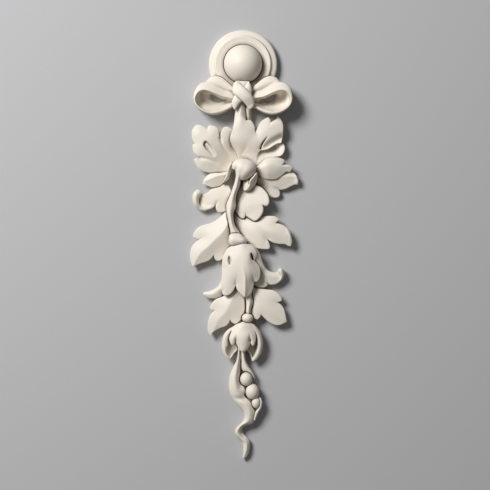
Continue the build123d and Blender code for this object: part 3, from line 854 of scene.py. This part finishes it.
# The left sepal.
relief(
    [
        [(-5, -258.5), (-10, -261), (-16, -265), (-19.5, -270), (-21, -277), (-20.7, -284),
         (-18.5, -290), (-15, -294), (-12.5, -294.8)],
        [(-11.5, -292), (-9, -288), (-6, -285)],
        [(-2, -280), (0, -262)],
    ],
    crest=[(-6, -261, 17), (-13, -265.5, 16.5), (-17.3, -272, 15.5), (-18.3, -281, 14.5),
           (-16, -289, 13), (-13, -294, 11)],
    edge=(13.5, 12, 11, 10), swell=(1.4,), flow=0.8,
    sunk=[
        (
            [
                [(-11.3, -264), (-14.2, -269.5), (-15.3, -275), (-15, -279)],
                [(-17.2, -284), (-16, -289), (-12.6, -291.8)],
                [(-8, -287), (-5, -283), (-7, -277), (-9, -266)],
            ],
            [(-11.5, -264.5, 0.5), (-13.5, -270, 4), (-12, -278, 8), (-13, -290, 5)],
        ),
    ],
)

# The right sepal.
relief(
    [
        [(5, -257), (10, -258.5), (14.5, -262.5), (18, -268), (19.8, -276), (19.3, -284), (17, -290),
         (13, -294.5), (9, -296.3)],
        [(8, -292), (6, -287.5), (4.5, -285.5)],
        [(0, -280), (0, -262)],
    ],
    crest=[(6, -260, 17), (12, -264, 16.5), (16, -271, 15.5), (17, -280, 14.5), (14.5, -289, 13),
           (9.7, -295.3, 11)],
    edge=(13.5, 12, 11, 10), swell=(1.4,), flow=0.8,
    sunk=[
        (
            [
                [(10, -262.5), (13.2, -268.5), (14.4, -275), (14.3, -281), (12.7, -288), (9.4, -292.8)],
                [(7, -287.5), (5, -283), (8, -277), (9, -266)],
            ],
            [(10.5, -263.5, 0.5), (13, -269, 4), (11, -278, 8), (10, -291, 5)],
        ),
    ],
)

# The bulb.
relief(
    [
        [(-4, -258), (-9, -261.5), (-11.5, -266), (-13.5, -272), (-13, -276), (-11, -279.3),
         (-9, -278.3), (-7.2, -275.5)],
        [(-5, -281), (-2, -285.5), (0, -286.8)],
        [(4, -284), (6.8, -279), (7.3, -275)],
        [(8, -278), (9.3, -280), (10.5, -280), (12, -277.5), (13, -272), (12, -266), (8.5, -260.5),
         (4, -257.5)],
        [(0, -256)],
    ],
    crest=[(-0.5, -263, 20.5), (0, -272, 22), (0, -283, 20)],
    edge=(16, 17, 17.5), swell=(2.6,), flow=1.2, softness=0.5,
    folds=[
        ([(-7.2, -275.5, -3.5), (-6.9, -272, -1.6), (-6.6, -268, 0)], 0.9),
        ([(7.3, -275, -3.5), (6.9, -271.5, -1.6), (6.5, -267, 0)], 0.9),
    ],
    groove=NO_GROOVE, melts=[(0, -259, 7)],
)

# The small collar.
ball(4.5, -252.6, 13.0, 5.6, 4.6, 5.5)

# The tail: a long pod and a thin strand hang from the calyx, with three berries in the pod's open side.
# The pod narrows to a ribbon that twists once and ends in a point. All are carved in the casting.

# The pod and its twisted end.
relief(
    [
        [(-5, -272), (-5, -284), (-5.5, -290), (-7, -296), (-10, -302), (-12.5, -308), (-14, -315),
         (-14, -322), (-12.5, -328), (-9.5, -333.5), (-5, -339), (-1.5, -343), (0.8, -347), (1.2, -351),
         (0.5, -355)],
        [(-3, -358.5), (-6.5, -362), (-8.1, -366), (-7, -370), (-3.5, -373.5), (-1.5, -376.5),
         (0, -380), (0.3, -385), (0, -390), (-0.7, -393.3)],
        [(1.5, -392.8), (4.5, -390), (6.3, -385), (6.8, -380), (6.3, -375), (4, -372), (1, -369),
         (-0.7, -365.5), (-0.2, -362), (3, -359.8), (7.5, -358.5), (10.5, -356.5), (12, -353)],
        [(11.8, -348), (11, -344), (9, -339), (6, -334.5), (2.5, -331.5), (1, -329)],
        [(2, -325.5), (1.5, -322), (-1, -319), (-3.5, -316), (-3.8, -313), (-3, -307), (-2.8, -299),
         (-2.7, -291), (-2, -280), (-2, -272)],
    ],
    crest=[(-3.5, -272, 12), (-4, -284, 15), (-4.5, -292, 15), (-6.5, -302, 15.5), (-8, -312, 16),
           (-7, -322, 16), (-3, -332, 14.5), (3, -340, 14), (6.5, -348, 13.5), (4.5, -355, 12),
           (-3, -360.5, 11), (-6, -366, 10.5), (-2.5, -372, 9.5), (2.8, -376, 9), (3.3, -384, 8.5),
           (0.5, -392, 6)],
    edge=(10, 10.5, 11, 11, 9.5, 7, 5.5, 5), swell=(1.8, 1.8, 1.8, 1.5, 1.2), flow=1.0,
    folds=[
        ([(-8, -332, -0.5), (-1, -333, -2), (5, -335.5, -0.5)], 2.2),
        ([(-2.5, -319, -1.2), (-2.5, -322, -1.2)], 2.5),
        ([(5, -360, -0.6), (0.5, -362.5, -2.2), (-1, -366, -2.6), (1, -370, -1.2)], 1.8),
    ],
)

# The strand.
relief(
    [
        [(-2.5, -272), (-2.5, -280), (-2.4, -288), (-1.8, -295), (-1.8, -301), (-0.4, -305),
         (4.6, -306.4), (9, -310), (12, -314.5)],
        [(11.7, -311), (9.5, -306), (6, -301), (3, -295), (2, -287), (2, -280), (2, -272)],
    ],
    crest=[(0, -272, 10), (0, -285, 12.5), (1, -294, 12.5), (4, -302, 12), (8, -306.5, 11.5),
           (11.5, -313, 9.5)],
    edge=(10, 9, 8), flow=0.6,
)

# The bed of the berries.
relief(
    [
        [(2, -306), (8, -316), (14, -322), (16, -332), (18, -336), (16, -343), (11, -352), (5, -350),
         (0, -330), (-4, -318), (-4, -306)],
    ],
    crest=[(0, -312, 5), (6, -328, 5), (11, -344, 5)],
    edge=(4, 4), undercut=0.0,
)

# The berries.
ball(3.2, -313.5, 10.5, 6.1, 6.7, 6.5)
ball(9.3, -326.0, 10.0, 6.7, 7.8, 7.2)
ball(13.2, -337.0, 8.5, 4.6, 5.9, 5.8)

# The pod's lip beside the berries.
stem(
    [
        (16.8, -332.5, 11.5, 1.2),
        (18, -336, 12, 1.4),
        (17, -341.5, 12, 1.6),
        (13.8, -347, 11.5, 1.6),
        (11.2, -354, 10.5, 1.6),
    ],
    fall=2,
)

# The casting: below all the forms a solid back joins them, struck off flat at the mould's open side.
# Its skin is found from the filling, set flat on the back, and thinned to the triangles its relief needs.
# It comes out of the mould as one piece of rigid polyurethane, and is then sprayed with primer.
BACK_HEIGHT = 2.6
FLAT_WITHIN = 0.3 * STEP
TRIANGLES = 190000
METRES = 0.001
SHARP_ANGLE = 1.0
filling = np.maximum(filling, np.minimum(footprint, BACK_HEIGHT - level))
filling = np.minimum(filling, level)
volume = openvdb.FloatGrid(INSIDE)
volume.copyFromArray(-filling)
points, quads = volume.convertToQuads(0.0)
grid_corner = [plan_x[0], plan_y[0], level[0]]
points = points * STEP + grid_corner
points[np.abs(points[:, 2]) < FLAT_WITHIN, 2] = 0.0
dense = bpy.data.meshes.new("dense_skin")
dense.from_pydata(points * METRES, [], quads.tolist())
dense_skin = bpy.data.objects.new("dense_skin", dense)
bpy.context.scene.collection.objects.link(dense_skin)
fewer = dense_skin.modifiers.new("fewer faces", "DECIMATE")
fewer.ratio = TRIANGLES / (2 * len(quads))
fewer.use_collapse_triangulate = True
thinned = dense_skin.evaluated_get(bpy.context.evaluated_depsgraph_get()).to_mesh()
points = np.empty(len(thinned.vertices) * 3, np.float32)
thinned.vertices.foreach_get("co", points)
points = points.reshape(-1, 3)
points[:, 2] = np.maximum(points[:, 2], 0.0)
triangles = np.empty(len(thinned.loops), np.int32)
thinned.loops.foreach_get("vertex_index", triangles)
triangles = triangles.reshape(-1, 3)
bpy.data.objects.remove(dense_skin)
bpy.data.meshes.remove(dense)

# Specks left apart from the casting by the fine grooves are dropped. Each point takes the lowest number
# among its neighbours, over and over, until every joined set of points shares one number.
shell = np.arange(len(points))
ends = np.vstack([triangles[:, [0, 1]], triangles[:, [1, 2]], triangles[:, [2, 0]]])
while True:
    lowest = shell.copy()
    np.minimum.at(lowest, ends[:, 0], shell[ends[:, 1]])
    np.minimum.at(lowest, ends[:, 1], shell[ends[:, 0]])
    lowest = lowest[lowest]
    if np.array_equal(lowest, shell):
        break
    shell = lowest
kept = shell == np.bincount(shell).argmax()
triangles = (np.cumsum(kept) - 1)[triangles[kept[triangles[:, 0]]]]
points = points[kept]
skin = bpy.data.meshes.new("onlay_casting")
skin.from_pydata(points, [], triangles.tolist())
casting = bpy.data.objects.new("onlay_casting", skin)
bpy.context.scene.collection.objects.link(casting)
skin.shade_smooth()
skin.set_sharp_from_angle(angle=SHARP_ANGLE)

# How shut in each point of the skin is: the share of solid in a small cube round it, near and farther off.
# These shares set where shade is painted into the primer's colour.
NEAR_REACH = 1.5
FAR_REACH = 6.0
place = (points / METRES - grid_corner) / STEP
cell = place.astype(int)
part_of_cell = place - cell


def solid_share(reach):
    """The share of the cube of that reach round each point of the skin that lies inside the casting.

    The cube's mean is taken one axis at a time, as a difference of two running totals. At each point it is
    the mean of the eight nearest grid points, each weighted by how near it is.
    """
    share = np.clip(filling / STEP + 0.5, 0.0, 1.0)
    cells = int(reach / STEP)
    for axis in range(3):
        size = share.shape[axis]
        padded = np.pad(share, [(cells + 1, cells) if a == axis else (0, 0) for a in range(3)], "edge")
        total = np.cumsum(padded, axis=axis)
        upper = np.take(total, np.arange(size) + 2 * cells + 1, axis=axis)
        lower = np.take(total, np.arange(size), axis=axis)
        share = (upper - lower) / (2 * cells + 1)
    mixed = 0.0
    for corner in np.ndindex(2, 2, 2):
        weight = np.where(corner, part_of_cell, 1 - part_of_cell).prod(axis=1)
        mixed = mixed + weight * share[tuple((cell + corner).T)]
    return mixed


for name, reach in (("crease", NEAR_REACH), ("hollow", FAR_REACH)):
    shut_in = solid_share(reach)
    skin.attributes.new(name, "FLOAT", "POINT").data.foreach_set("value", shut_in.astype(np.float32))

# The finish: a matte factory primer, sprayed on, warm off-white. It is a little uneven in tone and sheen,
# and has a very fine grain. Shade is painted into its colour: darker in the creases and deep hollows.
PALE_COAT = (0.80, 0.74, 0.645, 1)
DULL_COAT = (0.72, 0.66, 0.575, 1)
CREASE_SHADE = (0.16, 0.11, 0.08, 1)
HOLLOW_SHADE = (0.16, 0.115, 0.085, 1)
CLOUDS_PER_METRE = 45
GRAINS_PER_METRE = 1300
GRAIN_HEIGHT = 0.00012
primer = bpy.data.materials.new("factory_primer")
primer.use_nodes = True
nodes, links = primer.node_tree.nodes, primer.node_tree.links
surface = nodes["Principled BSDF"]
own_space = nodes.new("ShaderNodeTexCoord")


def cloud(per_metre, detail):
    """A cloudy pattern in the casting's own space, with about so many clouds to the metre."""
    noise = nodes.new("ShaderNodeTexNoise")
    noise.inputs["Scale"].default_value = per_metre
    noise.inputs["Detail"].default_value = detail
    links.new(own_space.outputs["Object"], noise.inputs["Vector"])
    return noise.outputs["Fac"]


mottle = cloud(CLOUDS_PER_METRE, detail=4)
grain = cloud(GRAINS_PER_METRE, detail=2)
coat = nodes.new("ShaderNodeMix")
coat.data_type = "RGBA"
coat.inputs["A"].default_value = PALE_COAT
coat.inputs["B"].default_value = DULL_COAT
links.new(mottle, coat.inputs["Factor"])
colour = coat.outputs["Result"]
# Painted shade: the colour is multiplied towards dark brown where the skin is shut in, in fine creases and
# deep hollows.
for name, start, end, darkest in (
    ("crease", 0.58, 0.82, CREASE_SHADE),
    ("hollow", 0.54, 0.86, HOLLOW_SHADE),
):
    shut = nodes.new("ShaderNodeAttribute")
    shut.attribute_name = name
    shade = nodes.new("ShaderNodeValToRGB")
    shade.color_ramp.elements[0].position = start
    shade.color_ramp.elements[0].color = (1, 1, 1, 1)
    shade.color_ramp.elements[1].position = end
    shade.color_ramp.elements[1].color = darkest
    links.new(shut.outputs["Fac"], shade.inputs["Fac"])
    darker = nodes.new("ShaderNodeMix")
    darker.data_type = "RGBA"
    darker.blend_type = "MULTIPLY"
    darker.inputs["Factor"].default_value = 1.0
    links.new(colour, darker.inputs["A"])
    links.new(shade.outputs["Color"], darker.inputs["B"])
    colour = darker.outputs["Result"]
links.new(colour, surface.inputs["Base Color"])
sheen = nodes.new("ShaderNodeMapRange")
sheen.inputs["To Min"].default_value = 0.48
sheen.inputs["To Max"].default_value = 0.72
links.new(mottle, sheen.inputs["Value"])
links.new(sheen.outputs["Result"], surface.inputs["Roughness"])
bump = nodes.new("ShaderNodeBump")
bump.inputs["Strength"].default_value = 0.25
bump.inputs["Distance"].default_value = GRAIN_HEIGHT
links.new(grain, bump.inputs["Height"])
links.new(bump.outputs["Normal"], surface.inputs["Normal"])
skin.materials.append(primer)

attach(casting, "root")
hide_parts("onlay")

# The floor: a plain pale board, on which the onlay lies on its back.
# It is painted grey, and lies a hair below the casting, so that the two do not share a surface.
FLOOR_HALF = 3.0
FLOOR_DROP = 0.0003
FLOOR_GREY = (0.45, 0.45, 0.46, 1)
floor_corners = [
    (-FLOOR_HALF, -FLOOR_HALF, 0),
    (FLOOR_HALF, -FLOOR_HALF, 0),
    (FLOOR_HALF, FLOOR_HALF, 0),
    (-FLOOR_HALF, FLOOR_HALF, 0),
]
floor_mesh = bpy.data.meshes.new("floor")
floor_mesh.from_pydata(floor_corners, [], [(0, 1, 2, 3)])
floor = bpy.data.objects.new("floor", floor_mesh)
floor.location = (0, 0, -FLOOR_DROP)
bpy.context.scene.collection.objects.link(floor)
board = bpy.data.materials.new("floor_board")
board.use_nodes = True
paint = board.node_tree.nodes["Principled BSDF"]
paint.inputs["Base Color"].default_value = FLOOR_GREY
paint.inputs["Roughness"].default_value = 0.8
floor_mesh.materials.append(board)

# The light: one large soft lamp from the upper left, as in the photograph, and a dim even sky.
# The lamp is aimed at the middle of the drop.
DROP_MIDDLE = Vector((0, -0.18, 0))
key = bpy.data.lights.new("key", "AREA")
key.size = 0.7
key.energy = 44
key_lamp = bpy.data.objects.new("key", key)
key_lamp.location = (-1.0, 0.75, 1.45)
key_lamp.rotation_euler = (DROP_MIDDLE - key_lamp.location).to_track_quat("-Z", "Y").to_euler()
bpy.context.scene.collection.objects.link(key_lamp)
sky = bpy.data.worlds.new("sky")
sky.use_nodes = True
glow = sky.node_tree.nodes["Background"]
glow.inputs["Color"].default_value = (1.0, 0.98, 0.95, 1)
glow.inputs["Strength"].default_value = 0.14
bpy.context.scene.world = sky

# The camera: straight above the middle of the drop, as the photograph was taken.
# Its lens is long enough for the height to show about as much as the photograph does.
EYE_HEIGHT = 2.0
VIEW_WIDTH = 0.490
SENSOR_WIDTH = 36
eye = bpy.data.cameras.new("eye")
eye.lens = SENSOR_WIDTH * EYE_HEIGHT / VIEW_WIDTH
eye_holder = bpy.data.objects.new("eye", eye)
eye_holder.location = (0.002, -0.180, EYE_HEIGHT)
bpy.context.scene.collection.objects.link(eye_holder)
bpy.context.scene.camera = eye_holder
bpy.context.scene.view_settings.view_transform = "Standard"
